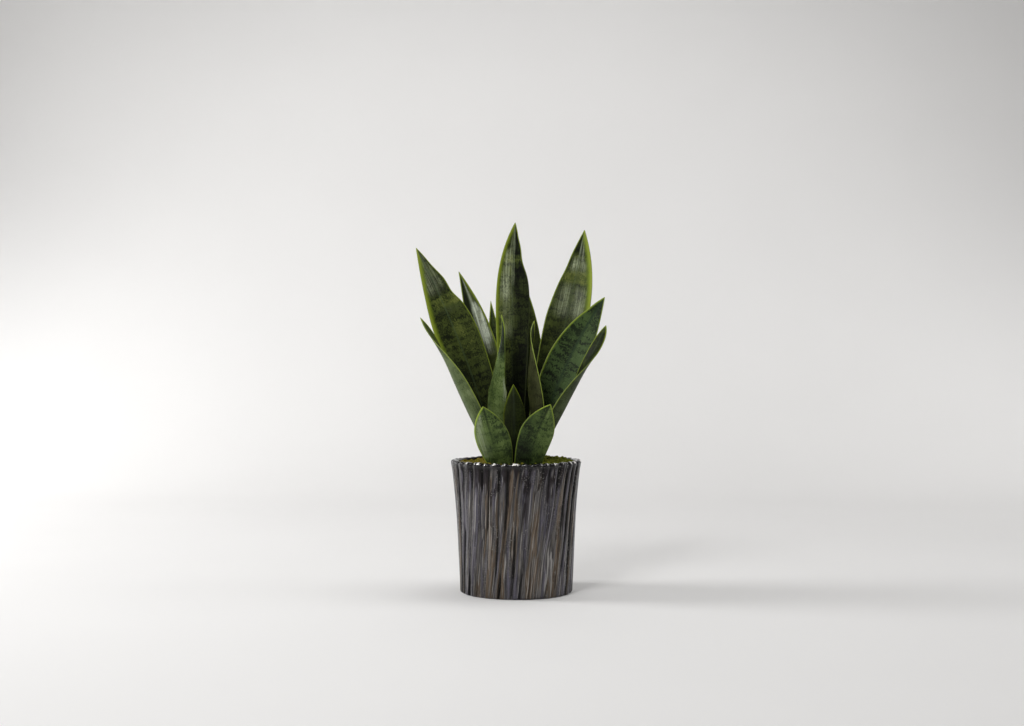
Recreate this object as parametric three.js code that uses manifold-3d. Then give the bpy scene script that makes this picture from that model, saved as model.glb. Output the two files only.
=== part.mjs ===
// Potted snake plant: a rosette of variegated sword leaves in a ridged ceramic pot.
// Millimetres, +Z up. The origin is the centre of the pot's flat foot; the front faces -Y.

import * as THREE from 'three';
import Module from 'manifold-3d';

const wasm = await Module();
wasm.setup();

// ---- Pot (mm, degrees) ----

const POT_HEIGHT = 184;
const FOOT_RADIUS = 77.5;
const WALL_TAPER = 7.5; // how much wider the wall is at the top than at the foot
const LIP_FLARE = 5; // extra radius of the curl outwards under the lip
const WALL_THICKNESS = 7;
const INSIDE_RADIUS = FOOT_RADIUS + WALL_TAPER + LIP_FLARE - WALL_THICKNESS;
const FLOOR_THICKNESS = 8;
const RIDGES = 38; // folds in the clay round the pot
const RIDGE_DEPTH = 3.2; // deepest groove between two folds
const RIDGE_SLANT = 12; // how far a fold drifts round the pot from lip to foot
const RIDGE_WANDER = 1.0; // sideways meander of a groove
const RIDGE_JITTER = 0.7; // how unevenly the grooves are spaced, as a share of a fold
const FOLD_SWELL = 2.0; // how differently the two shoulders of the folds stand out
const FLAT_FOOT_INSET = 3.4; // rounding between the wall and the flat foot
const WALL_ROWS = [172, 152, 128, 102, 76, 50, 26, 8]; // heights of the rows of the outer wall

// ---- Filling ----

const GAP = 0.35; // clear space between pieces that only touch in life
const SOIL_TOP = 169;
const LEAF_LEVEL = 178; // where the leaf feet are measured
const MOSS_LEVEL = 179;
const MOSS_TILT = 0.012; // rise per mm to the right
const CLUMP = [54, 26, 3.8, 21]; // x, y, height and spread of the heap of moss at the right
const MOSS_RINGS = 6;
const MOSS_SPOKES = 40;
const MOSS_LUMP = 1.6; // height of the lumps in the moss
const BURIED = 26; // length of leaf under the moss

// ---- Leaf blades ----

const RIB_THICKNESS = 3.2; // thickest line of a blade near the foot
const MARGIN_THICKNESS = 1.0;
const TIP_HALF_WIDTH = 0.5;
const CREASE = 1.6; // how deep the middle line is pressed into the hollow side
const ACROSS = [-1, -0.55, 0, 0.55, 1]; // rows of points from the left margin to the right one
const TALL_STATIONS = 19;
const SHORT_STATIONS = 13;

// Each leaf: foot is where its middle line meets the moss, tip its point, and handles bow the
// line between them. width is [at the foot, at the widest], belly says how far up the widest
// place is and point how blunt the taper of the left and right margin is (2 is a full arch, 1
// straight). lop is the left margin's share of the width. face is the direction the hollow side
// looks at foot and tip and how late it turns, fold how far the margins curl up there, and ripple
// [mm, waves, phase] the wave of the margins. A dent is [margin, how far up, length, depth];
// where its depth is negative the margin bulges.
const LEAVES = [
  { name: 'leaf_centre_tall', foot: [0, 12], handles: [[-11, 14, 348]], tip: [-1, 22, 519],
    width: [22, 49], belly: 0.65, point: [2.5, 1.9], lop: 0.49, face: [-90, -88, 1], fold: [62, 20],
    ripple: [1.6, 2.4, 0.5], dents: [[1, 0.84, 0.055, 4.5], [1, 0.93, 0.04, 2]] },
  { name: 'leaf_left_tall', foot: [-26, 11], handles: [[-62, 12, 330]], tip: [-143, 34, 484],
    width: [27, 64], belly: 0.58, point: [1.65, 1.5], lop: 0.49, face: [-66, -80, 1], fold: [62, 16],
    ripple: [1.8, 2.1, 2.6], dents: [[1, 0.77, 0.045, 4], [1, 0.9, 0.05, 1.5]] },
  { name: 'leaf_right_tall', foot: [21, 27], handles: [[68, 36, 345]], tip: [99, 60, 512],
    width: [25, 63], belly: 0.6, point: [1.45, 2.2], lop: 0.485, face: [-115, -96, 1], fold: [62, 18],
    ripple: [1.5, 2.3, 1.1], dents: [[-1, 0.82, 0.05, 1.5]] },
  { name: 'leaf_right_mid', foot: [27, 10], handles: [[47, 14, 295]], tip: [126, 22, 413],
    width: [26, 58], belly: 0.57, point: [2, 2], lop: 0.52, face: [-122, -100, 1], fold: [60, 16],
    ripple: [1.4, 1.8, 0.2], dents: [[-1, 0.9, 0.04, 1]] },
  { name: 'leaf_left_back', foot: [-17, 32], handles: [[-30, 43, 315]], tip: [-83.5, 75, 453],
    width: [22, 42], belly: 0.56, point: [1.7, 1.7], lop: 0.5, face: [-62, -72, 1], fold: [66, 34],
    ripple: [1.2, 1.9, 2.1], dents: [] },
  { name: 'leaf_centre_back_left', foot: [-7, 46], handles: [[-26, 56, 294]], tip: [-37, 90, 411],
    width: [16, 28], belly: 0.52, point: [1.6, 1.6], lop: 0.5, face: [-80, -80, 1], fold: [60, 25],
    ripple: [0.8, 1.6, 0.4], dents: [] },
  { name: 'leaf_centre_back_right', foot: [16, 46], handles: [[21, 60, 304]], tip: [14, 85, 432],
    width: [20, 44], belly: 0.56, point: [1.8, 1.8], lop: 0.5, face: [-100, -96, 1], fold: [62, 24],
    ripple: [1.0, 1.7, 1.7], dents: [] },
  { name: 'leaf_left_outer', foot: [-27, -28], handles: [[-69, -26, 278]], tip: [-134, -8, 383],
    width: [17, 37], belly: 0.58, point: [1.6, 1.7], lop: 0.5, face: [44, -56, 3], fold: [58, 24],
    ripple: [0.9, 1.5, 0.9], dents: [] },
  { name: 'leaf_right_outer', foot: [22, -25], handles: [[107, -34, 330]], tip: [125.5, -6, 372],
    width: [18, 37], belly: 0.42, point: [1.7, 1.6], lop: 0.42, face: [142, 264, 1.4], fold: [58, 24],
    ripple: [0.9, 1.6, 2.4], dents: [] },
  { name: 'leaf_front_left', foot: [-25, -14.5], handles: [[-40.5, -25, 305], [-10.7, -18, 327]],
    tip: [-20.2, -12, 387], width: [22, 34], belly: 0.36, point: [0.62, 0.62], lop: 0.5,
    face: [64, 46, 1], fold: [55, 22], ripple: [0.8, 2.0, 0.3],
    dents: [[-1, 0.87, 0.1, -1.3], [1, 0.87, 0.1, -1.3]] },
  { name: 'leaf_front_right', foot: [12, -15], handles: [[46, -20, 242], [8, -18, 302]],
    tip: [25.5, -16, 379], width: [19, 29], belly: 0.5, point: [2.4, 2.4], lop: 0.5,
    face: [45, -90, 6], fold: [52, 20], ripple: [0.7, 2.0, 2.9], dents: [] },
  { name: 'leaf_front_middle', foot: [-2, -38], handles: [[-2, -37, 233]], tip: [-4, -32, 290],
    width: [20, 32], belly: 0.6, point: [1.7, 1.7], lop: 0.5, face: [90, 88, 1], fold: [50, 22],
    ripple: [0.7, 1.3, 1.2], dents: [] },
  { name: 'leaf_short_left', foot: [-22, -52], handles: [[-33, -60, 219]], tip: [-45, -80, 261],
    width: [37, 51], belly: 0.42, point: [2.0, 2.1], lop: 0.48, face: [76, 82, 1], fold: [42, 26],
    ripple: [0.7, 1.2, 0.4], dents: [] },
  { name: 'leaf_short_right', foot: [18, -56], handles: [[21.5, -62, 220]], tip: [46, -81, 264],
    width: [43, 50], belly: 0.48, point: [1.95, 1.95], lop: 0.53, face: [106, 98, 1], fold: [44, 26],
    ripple: [0.7, 1.3, 2.2], dents: [] },
  { name: 'leaf_rear_tall', foot: [4, 62], handles: [[-2, 74, 300]], tip: [-6, 114, 422],
    width: [20, 36], belly: 0.55, point: [1.8, 1.8], lop: 0.5, face: [-90, -90, 1], fold: [62, 22],
    ripple: [1.2, 1.8, 0.8], dents: [] },
  { name: 'leaf_rear_left', foot: [-23, 54], handles: [[-28, 64, 216]], tip: [-27, 86, 254],
    width: [26, 34], belly: 0.44, point: [2, 2], lop: 0.5, face: [-62, -70, 1], fold: [48, 26],
    ripple: [0.7, 1.3, 1.6], dents: [] },
  { name: 'leaf_rear_right', foot: [27, 54], handles: [[31, 64, 214]], tip: [28, 86, 252],
    width: [26, 34], belly: 0.44, point: [2, 2], lop: 0.5, face: [-118, -110, 1], fold: [48, 26],
    ripple: [0.7, 1.3, 2.8], dents: [] },
];

// ---- Small helpers ----

const rad = (degrees) => (degrees * Math.PI) / 180;
const mix = (a, b, t) => a + (b - a) * t;

// A fixed draw between 0 and 1 for a whole number, the same at every build.
const draw = (n) => {
  const s = Math.sin(n * 12.9898 + 4.1) * 43758.5453;
  return s - Math.floor(s);
};

const ceramic = new THREE.MeshStandardMaterial({ color: '#3f3c3b', roughness: 0.28, metalness: 0.35 });
const leafSkin = new THREE.MeshStandardMaterial({ color: '#3d5527', roughness: 0.38, metalness: 0 });
const mossMat = new THREE.MeshStandardMaterial({ color: '#8b8b2e', roughness: 0.95, metalness: 0 });
const soilMat = new THREE.MeshStandardMaterial({ color: '#2e241c', roughness: 1, metalness: 0 });

function meshOf(name, points, triangles, material) {
  const geometry = new THREE.BufferGeometry();
  geometry.setAttribute('position', new THREE.Float32BufferAttribute(points.flat(), 3));
  geometry.setIndex(triangles.flat());
  geometry.computeVertexNormals();
  const mesh = new THREE.Mesh(geometry, material);
  mesh.name = name;
  return mesh;
}

function solidOf(points, triangles) {
  const vertProperties = new Float32Array(points.flat());
  const triVerts = new Uint32Array(triangles.flat());
  return new wasm.Manifold(new wasm.Mesh({ numProp: 3, vertProperties, triVerts }));
}

function meshOfSolid(name, solid, material) {
  const { vertProperties, triVerts } = solid.getMesh();
  const points = [];
  for (let i = 0; i < vertProperties.length; i += 3) points.push([...vertProperties.slice(i, i + 3)]);
  const triangles = [];
  for (let i = 0; i < triVerts.length; i += 3) triangles.push([...triVerts.slice(i, i + 3)]);
  return meshOf(name, points, triangles, material);
}

// Skins a stack of closed rings that all run the same way, from the first to the last, and
// closes both ends with a fan to the given end points.
function skinRings(rings, firstPoint, lastPoint) {
  const around = rings[0].length;
  const points = [...rings.flat(), firstPoint, lastPoint];
  const first = points.length - 2;
  const last = points.length - 1;
  const top = (rings.length - 1) * around;
  const triangles = [];
  for (let r = 0; r < rings.length - 1; r += 1) {
    for (let i = 0; i < around; i += 1) {
      const j = (i + 1) % around;
      const a = r * around + i;
      const b = r * around + j;
      triangles.push([a, b, b + around], [a, b + around, a + around]);
    }
  }
  for (let i = 0; i < around; i += 1) {
    const j = (i + 1) % around;
    triangles.push([first, j, i], [last, top + i, top + j]);
  }
  return { points, triangles };
}

// ---- Pot ----

// The thrown outline is not quite round.
const outOfRound = (angle) => 0.7 * Math.cos(2 * angle + 0.6) + 0.5 * Math.cos(3 * angle + 2);

function wallRadius(angle, z) {
  const up = z / POT_HEIGHT;
  return FOOT_RADIUS + WALL_TAPER * up + LIP_FLARE * up ** 4 + outOfRound(angle);
}

const innerRadius = (angle, z) => wallRadius(angle, z) - WALL_THICKNESS;

// Sideways place of groove k at height z, as an angle.
function grooveAngle(k, z) {
  const down = 1 - z / POT_HEIGHT;
  const start = k + RIDGE_JITTER * (draw(k) - 0.5);
  const lean = RIDGE_SLANT * down * (0.85 + 0.3 * draw(k + 100));
  const meander = RIDGE_WANDER * Math.sin(down * 5 + 6.3 * draw(k + 200));
  return rad((360 * start) / RIDGES - lean - meander);
}

// Depth of groove k at height z: all are clear at the lip, and some fade out down the wall.
function grooveDepth(k, z) {
  const onWall = 0.15 + 0.85 * draw(k + 300 + Math.round(z / 60)) ** 1.5;
  const atLip = 0.5 + 0.4 * draw(k + 600);
  return RIDGE_DEPTH * mix(onWall, atLip, Math.min(1, Math.max(0, (z - 140) / 40)));
}

// Points round the pot at height z: a groove, then the two shoulders of the fold beside it.
function foldStations(z) {
  const stations = [];
  for (let k = 0; k < RIDGES; k += 1) {
    const from = grooveAngle(k, z);
    const to = grooveAngle((k + 1) % RIDGES, z) + (k + 1 === RIDGES ? 2 * Math.PI : 0);
    stations.push({ angle: from, out: -grooveDepth(k, z) });
    stations.push({ angle: mix(from, to, 0.3), out: FOLD_SWELL * (draw(k + 400) - 0.5) });
    stations.push({ angle: mix(from, to, 0.72), out: FOLD_SWELL * (draw(k + 500) - 0.5) });
  }
  return stations;
}

function potRing(z, inset, ridgeShare, rise = 0) {
  return foldStations(z).map(({ angle, out }) => {
    const r = wallRadius(angle, z) - inset + out * ridgeShare;
    return [r * Math.cos(angle), r * Math.sin(angle), z + out * rise];
  });
}

function makePot() {
  const inside = [FLOOR_THICKNESS, 60, 120, POT_HEIGHT - 5];
  const rings = [
    ...inside.map((z) => potRing(z, WALL_THICKNESS, 0)),
    potRing(POT_HEIGHT, WALL_THICKNESS - 2.2, 0.3, 0.5),
    potRing(POT_HEIGHT, 2.6, 0.7, 0.7),
    potRing(POT_HEIGHT - 3, 0.3, 1, 0.3),
    ...WALL_ROWS.map((z) => potRing(z, 0, 1)),
    potRing(2, 1, 0.8),
    potRing(0, FLAT_FOOT_INSET, 0.5),
  ];
  const outwards = rings.map((ring) => [...ring].reverse());
  const skin = skinRings(outwards, [0, 0, FLOOR_THICKNESS], [0, 0, 0]);
  return meshOf('pot', skin.points, skin.triangles, ceramic);
}

// ---- Leaves ----

const vec = (p) => new THREE.Vector3(p[0], p[1], p[2]);

// Point and direction on the middle line, from the foot (0) to the tip (1). Below the foot it
// runs straight on under the moss.
function spineAt(leaf, t) {
  let row = [[...leaf.foot, LEAF_LEVEL], ...leaf.handles, leaf.tip].map(vec);
  const degree = row.length - 1;
  while (row.length > 2) row = row.slice(1).map((p, i) => row[i].clone().lerp(p, Math.max(t, 0)));
  const along = row[1].clone().sub(row[0]);
  const place = row[0].clone().lerp(row[1], Math.max(t, 0));
  place.addScaledVector(along, degree * Math.min(t, 0));
  return { place, along: along.normalize() };
}

// Distance from the middle line to the left (-1) or right (1) margin.
function marginReach(leaf, t, margin) {
  const [foot, widest] = leaf.width;
  if (t <= 0) return foot / 2;
  const full = widest * (margin < 0 ? leaf.lop : 1 - leaf.lop);
  if (t < leaf.belly) return mix(foot / 2, full, Math.sin((Math.PI / 2) * (t / leaf.belly)));
  const rest = (t - leaf.belly) / (1 - leaf.belly);
  let reach = full * (1 - rest ** leaf.point[margin < 0 ? 0 : 1]);
  for (const [side, place, length, depth] of leaf.dents) {
    if (side === margin) reach -= depth * Math.exp(-(((t - place) / length) ** 2));
  }
  return Math.max(reach, TIP_HALF_WIDTH);
}

// Shape of the blade across at station t: returns a function from u (-1 left margin, 1 right
// margin) and side (1 hollow face, -1 back) to a point; swell makes the blade fatter.
function bladeSection(leaf, t, swell) {
  const { place, along } = spineAt(leaf, t);
  const up = Math.max(t, 0);
  const [atFoot, atTip, late] = leaf.face;
  const azimuth = rad(mix(atFoot, atTip, up ** late));
  const look = new THREE.Vector3(Math.cos(azimuth), Math.sin(azimuth), 0);
  look.addScaledVector(along, -look.dot(along)).normalize();
  const right = along.clone().cross(look);
  const reach = { left: marginReach(leaf, t, -1), right: marginReach(leaf, t, 1) };
  const curl = rad(mix(leaf.fold[0], leaf.fold[1], Math.min(1, up * 1.5)));
  const radius = (reach.left + reach.right) / 2 / curl;
  const rib = mix(RIB_THICKNESS, 1.4, up);
  const [height, waves, phase] = leaf.ripple;
  return (u, side) => {
    const wave = height * Math.sin(2 * Math.PI * waves * up + phase + (u > 0 ? 1.9 : 0));
    const lift = wave * Math.abs(u) ** 3 * Math.min(1, up * 3) * Math.min(1, (1 - up) * 4);
    const crease = CREASE * Math.min(1, up * 4) * (1 - up) * Math.exp(-((u / 0.3) ** 2));
    const thick = side * (mix(rib, MARGIN_THICKNESS, u * u) / 2 + swell);
    const lean = (u * (u < 0 ? reach.left : reach.right)) / radius;
    const across = radius * Math.sin(lean) + swell * u * Math.cos(lean);
    const rise = radius * (1 - Math.cos(lean)) + swell * Math.abs(u) * Math.sin(Math.abs(lean));
    const point = place.clone();
    point.addScaledVector(right, across - thick * Math.sin(lean));
    point.addScaledVector(look, rise + lift - crease + thick * Math.cos(lean));
    return point;
  };
}

function bladeRing(section) {
  const hollow = ACROSS.map((u) => section(u, 1).toArray());
  const back = ACROSS.map((u) => section(u, -1).toArray()).reverse();
  return [...hollow, ...back];
}

// Stations up the leaf, closer together near the tip.
function stationsOf(leaf) {
  const foot = vec([...leaf.foot, LEAF_LEVEL]);
  const count = vec(leaf.tip).distanceTo(foot) > 150 ? TALL_STATIONS : SHORT_STATIONS;
  const reach = vec(leaf.handles[0]).distanceTo(foot) * (leaf.handles.length + 1);
  const stations = [-BURIED / reach, -4 / reach];
  for (let i = 1; i <= count; i += 1) stations.push((i / count) ** 0.92 * 0.985);
  return stations;
}

// Triangles of one blade: both faces are split along the same diagonals. The lower end is
// closed with a strip across, the upper end runs out to the tip.
function skinBlade(rings, tip) {
  const n = ACROSS.length;
  const around = 2 * n;
  const points = [...rings.flat(), tip];
  const top = (rings.length - 1) * around;
  const triangles = [];
  for (let r = 0; r < rings.length - 1; r += 1) {
    for (let i = 0; i < around; i += 1) {
      const a = r * around + i;
      const b = r * around + ((i + 1) % around);
      const c = b + around;
      const d = a + around;
      if (i < n) triangles.push([a, b, c], [a, c, d]);
      else triangles.push([a, b, d], [b, c, d]);
    }
  }
  for (let i = 0; i < n - 1; i += 1) {
    const across = around - 1 - i;
    triangles.push([i, across, i + 1], [i + 1, across, across - 1]);
  }
  for (let i = 0; i < around; i += 1) {
    triangles.push([points.length - 1, top + i, top + ((i + 1) % around)]);
  }
  return { points, triangles };
}

function makeLeaf(leaf) {
  const rings = stationsOf(leaf).map((t) => bladeRing(bladeSection(leaf, t, 0)));
  const skin = skinBlade(rings, leaf.tip);
  return meshOf(leaf.name, skin.points, skin.triangles, leafSkin);
}

// The hole that a leaf stands in: the blade's own lower part, grown by the gap all round and
// run to a point high over the moss.
function leafHole(leaf) {
  const stations = stationsOf(leaf).filter((t) => spineAt(leaf, t).place.z < LEAF_LEVEL + 24);
  const rings = stations.map((t) => bladeRing(bladeSection(leaf, t, GAP)));
  const { along } = spineAt(leaf, stations[0]);
  rings[0] = rings[0].map((p) => vec(p).addScaledVector(along, -GAP).toArray());
  const end = spineAt(leaf, stations[stations.length - 1]);
  const peak = end.place.addScaledVector(end.along, 12).toArray();
  const skin = skinBlade(rings, peak);
  return solidOf(skin.points, skin.triangles);
}

// ---- Soil and moss ----

function fillRing(z, inset, spokes) {
  const ring = [];
  for (let i = 0; i < spokes; i += 1) {
    const angle = (2 * Math.PI * i) / spokes;
    const r = innerRadius(angle, z) - inset;
    ring.push([r * Math.cos(angle), r * Math.sin(angle), z]);
  }
  return ring;
}

function soilBlock() {
  const heights = [FLOOR_THICKNESS + GAP, 60, 120, SOIL_TOP];
  const rings = heights.map((z) => fillRing(z, GAP, MOSS_SPOKES));
  const skin = skinRings(rings, [0, 0, heights[0]], [0, 0, SOIL_TOP]);
  return solidOf(skin.points, skin.triangles);
}

// Top of the moss: lumps on a surface that rises gently to the right.
function mossTop(x, y, n) {
  const lump = MOSS_LUMP * (draw(n) - 0.5) * 2;
  const dome = 1.5 * (1 - (x * x + y * y) / INSIDE_RADIUS ** 2);
  const [clumpX, clumpY, clumpHeight, spread] = CLUMP;
  const clump = clumpHeight * Math.exp(-((x - clumpX) ** 2 + (y - clumpY) ** 2) / spread ** 2);
  const waves = 0.6 * Math.sin(x / 9) * Math.cos(y / 8);
  return MOSS_LEVEL + dome + clump + MOSS_TILT * x + lump + waves;
}

function mossSheet() {
  const bottom = SOIL_TOP + GAP;
  const rim = fillRing(bottom, GAP, MOSS_SPOKES);
  const rings = [rim];
  for (let r = MOSS_RINGS; r > 0; r -= 1) {
    const share = r === MOSS_RINGS ? 1 : (r / MOSS_RINGS) ** 0.8;
    const turn = r === MOSS_RINGS ? 0 : 0.5 * (r % 2);
    const ring = [];
    for (let i = 0; i < MOSS_SPOKES; i += 1) {
      const angle = (2 * Math.PI * (i + turn)) / MOSS_SPOKES;
      const full = innerRadius(angle, SOIL_TOP) - GAP;
      const x = full * share * Math.cos(angle);
      const y = full * share * Math.sin(angle);
      const edge = r === MOSS_RINGS ? -1.5 : 0;
      ring.push([x, y, mossTop(x, y, r * 97 + i) + edge]);
    }
    rings.push(ring);
  }
  const skin = skinRings(rings, [0, 0, bottom], [0, 0, MOSS_LEVEL]);
  return solidOf(skin.points, skin.triangles);
}

// ---- Whole plant ----

let soil = soilBlock();
let moss = mossSheet();
for (const leaf of LEAVES) {
  const hole = leafHole(leaf);
  soil = soil.subtract(hole);
  moss = moss.subtract(hole);
}

const pot = new THREE.Group();
pot.name = 'filled_pot';
pot.add(makePot());
pot.add(meshOfSolid('soil', soil, soilMat));
pot.add(meshOfSolid('moss', moss, mossMat));

const rosette = new THREE.Group();
rosette.name = 'rosette';
for (const leaf of LEAVES) rosette.add(makeLeaf(leaf));

const plant = new THREE.Group();
plant.name = 'potted_snake_plant';
plant.add(pot, rosette);

export default plant;
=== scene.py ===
"""Looks of a potted snake plant: a ridged, lustre-glazed pot, a bed of moss and sword leaves.

Sizes are in millimetres until a mesh is made. The front of the plant faces -Y.
"""

import logging
import math
from collections.abc import Callable, Iterator
from contextlib import contextmanager
from dataclasses import dataclass
from enum import Enum
from functools import partial

import bpy
import numpy as np
from bpy.types import Material, Mesh, MeshEdge, NodeSocket, NodeTree, Object
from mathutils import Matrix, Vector

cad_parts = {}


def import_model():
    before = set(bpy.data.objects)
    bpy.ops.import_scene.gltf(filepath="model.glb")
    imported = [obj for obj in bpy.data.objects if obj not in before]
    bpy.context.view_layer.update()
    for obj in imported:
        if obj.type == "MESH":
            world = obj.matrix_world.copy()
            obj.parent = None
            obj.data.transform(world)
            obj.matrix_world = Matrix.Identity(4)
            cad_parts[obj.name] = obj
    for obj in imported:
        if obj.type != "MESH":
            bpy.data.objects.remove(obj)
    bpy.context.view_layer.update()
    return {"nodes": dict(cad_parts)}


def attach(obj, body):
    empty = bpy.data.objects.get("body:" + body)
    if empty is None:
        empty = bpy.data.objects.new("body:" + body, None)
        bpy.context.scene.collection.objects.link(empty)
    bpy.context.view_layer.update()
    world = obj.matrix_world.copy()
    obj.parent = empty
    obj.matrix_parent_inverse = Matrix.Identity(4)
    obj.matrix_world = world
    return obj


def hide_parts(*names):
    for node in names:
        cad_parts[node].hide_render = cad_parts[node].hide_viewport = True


MM = 0.001
LOG = logging.getLogger("snake_plant")

Array = np.ndarray
Pair = tuple[float, float]
Point = tuple[float, float, float]
Adder = Callable[..., NodeSocket]
Inputs = dict[str, object]

# What a kind of node is set to unless its settings say otherwise; Math is then a * b + c.
USUAL = {"Math": {"operation": "MULTIPLY_ADD"}, "Mix": {"data_type": "RGBA"},
         "MapRange": {"interpolation_type": "SMOOTHSTEP"}}


# ---- Small helpers ----


def mix(a: float, b: float, t: float) -> float:
    """Returns the value the share t of the way from a to b."""
    return a + (b - a) * t


def draw(n: float) -> float:
    """Returns a fixed number between 0 and 1 for a whole number, the same at every run."""
    return math.sin(n * 12.9898 + 4.1) * 43758.5453 % 1.0


def smooth_step(low: float, high: float, value: float) -> float:
    """Returns 0 below low, 1 above high and a smooth climb between them."""
    t = min(max((value - low) / (high - low), 0.0), 1.0)
    return t * t * (3 - 2 * t)


def linear(hex_colour: str) -> tuple[float, float, float, float]:
    """Turns an sRGB hex colour into linear light.

    Args:
        hex_colour: The colour as "#rrggbb".

    Returns:
        Red, green, blue and an opaque alpha.
    """
    values = [int(hex_colour[i:i + 2], 16) / 255 for i in (1, 3, 5)]
    light = [v / 12.92 if v <= 0.04045 else ((v + 0.055) / 1.055) ** 2.4 for v in values]
    return (light[0], light[1], light[2], 1.0)


def feed(socket: NodeSocket, value: object) -> None:
    """Links an input to another node's output or sets it to a constant; None leaves it alone."""
    if isinstance(value, NodeSocket):
        socket.id_data.links.new(value, socket)
    elif value is not None:
        socket.default_value = value


def add_node(tree: NodeTree, kind: str, *values: object, out: str = "",
             stops: tuple = (), **settings: object) -> NodeSocket:
    """Adds one shader node, sets it up and feeds it.

    Args:
        tree: The material's node tree.
        kind: The node's type without its ShaderNode prefix.
        values: What its open inputs take, in order: a socket, a constant, or None to leave one.
        out: The output that is wanted, if it isn't the first open one.
        stops: Places and hex colours of a colour ramp, its two ends first.
        settings: The node's own properties.

    Returns:
        The output.
    """
    node = tree.nodes.new("ShaderNode" + kind)
    for key, value in {**USUAL.get(kind, {}), **settings}.items():
        setattr(node, key, value)
    for i, (place, colour) in enumerate(stops):
        elements = node.color_ramp.elements
        element = elements[i] if i < 2 else elements.new(place)
        element.position, element.color = place, linear(colour)
    for socket, value in zip([s for s in node.inputs if s.enabled], values):
        feed(socket, value)
    return node.outputs[out] if out else next(s for s in node.outputs if s.enabled)


def select_only(piece: Object) -> None:
    """Makes the piece the one selected and active object."""
    bpy.ops.object.select_all(action="DESELECT")
    piece.select_set(True)
    bpy.context.view_layer.objects.active = piece


@contextmanager
def editing(piece: Object, parts: str = "",
            chosen: Callable[..., bool] = bool) -> Iterator[None]:
    """Opens the active piece in edit mode, all selected or only the parts that are chosen.

    Args:
        piece: The piece.
        parts: "edges" or "polygons", or empty to select everything.
        chosen: Tells whether one of those parts is selected.
    """
    bpy.ops.object.mode_set(mode="EDIT")
    bpy.ops.mesh.select_all(action="DESELECT" if parts else "SELECT")
    if parts:
        bpy.ops.object.mode_set(mode="OBJECT")
        for part in getattr(piece.data, parts):
            part.select = chosen(part)
        bpy.ops.object.mode_set(mode="EDIT")
    yield
    bpy.ops.object.mode_set(mode="OBJECT")


def apply_modifier(piece: Object, kind: str, **settings: object) -> None:
    """Adds a modifier to the piece, sets it up and applies it.

    Args:
        piece: The selected and active piece.
        kind: The modifier's type.
        settings: Its own properties.
    """
    modifier = piece.modifiers.new(kind.lower(), kind)
    for key, value in settings.items():
        setattr(modifier, key, value)
    bpy.ops.object.modifier_apply(modifier=modifier.name)


def read_points(mesh: Mesh) -> Array:
    """Returns the mesh's vertices as an array of rows of x, y and z."""
    points = np.empty(len(mesh.vertices) * 3)
    mesh.vertices.foreach_get("co", points)
    return points.reshape(-1, 3)


def write_points(mesh: Mesh, points: Array) -> None:
    """Puts the mesh's vertices at the given rows of x, y and z."""
    mesh.vertices.foreach_set("co", np.asarray(points, float).ravel())
    mesh.update()


def write_attributes(mesh: Mesh, **named: Array) -> None:
    """Keeps a number, or a row of three, for each vertex of the mesh under each name."""
    for name, values in named.items():
        values = np.asarray(values, float)
        kind, key = ("FLOAT", "value") if values.ndim == 1 else ("FLOAT_VECTOR", "vector")
        mesh.attributes.new(name, kind, "POINT").data.foreach_set(key, values.ravel())


def hand_over(piece: Object, node: str) -> None:
    """Lets a finished piece ride on the plant's one body in place of its solid.

    Args:
        piece: The finished piece.
        node: The solid that it stands for.
    """
    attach(piece, "root")
    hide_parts(node)
    LOG.info("%s: %d faces", piece.name, len(piece.data.polygons))


# ---- Finishes ----


@dataclass(frozen=True)
class Grain:
    """A cloudy pattern: the length of its blobs along each coordinate, and its finer layers."""

    size: Point
    detail: float = 2.0
    roughness: float = 0.5

    def over(self, add: Adder, place: NodeSocket, out: str = "") -> NodeSocket:
        """Returns the pattern, mostly between 0.3 and 0.7, over coordinates in metres."""
        scaled = add("Mapping", place, None, None, tuple(1 / (s * MM) for s in self.size))
        return add("TexNoise", scaled, 1.0, self.detail, self.roughness, out=out)


@dataclass(frozen=True)
class Finish:
    """A surface: what it is made of, how it was made and how deep its relief is."""

    RELIEF = 0.6

    name: str

    def material(self) -> Material:
        """Returns the finish's material, made the first time it is asked for."""
        made = bpy.data.materials.get(self.name)
        if not made:
            made = bpy.data.materials.new(self.name)
            made.use_nodes = True
            inputs = made.node_tree.nodes["Principled BSDF"].inputs
            for key, value in self.paint(partial(add_node, made.node_tree)).items():
                feed(inputs[key], value)
        return made

    def paint(self, add: Adder) -> Inputs:
        """Builds the finish's pattern.

        Args:
            add: add_node for the material's own tree.

        Returns:
            What the shader's inputs take, by their names.
        """
        raise NotImplementedError


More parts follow.
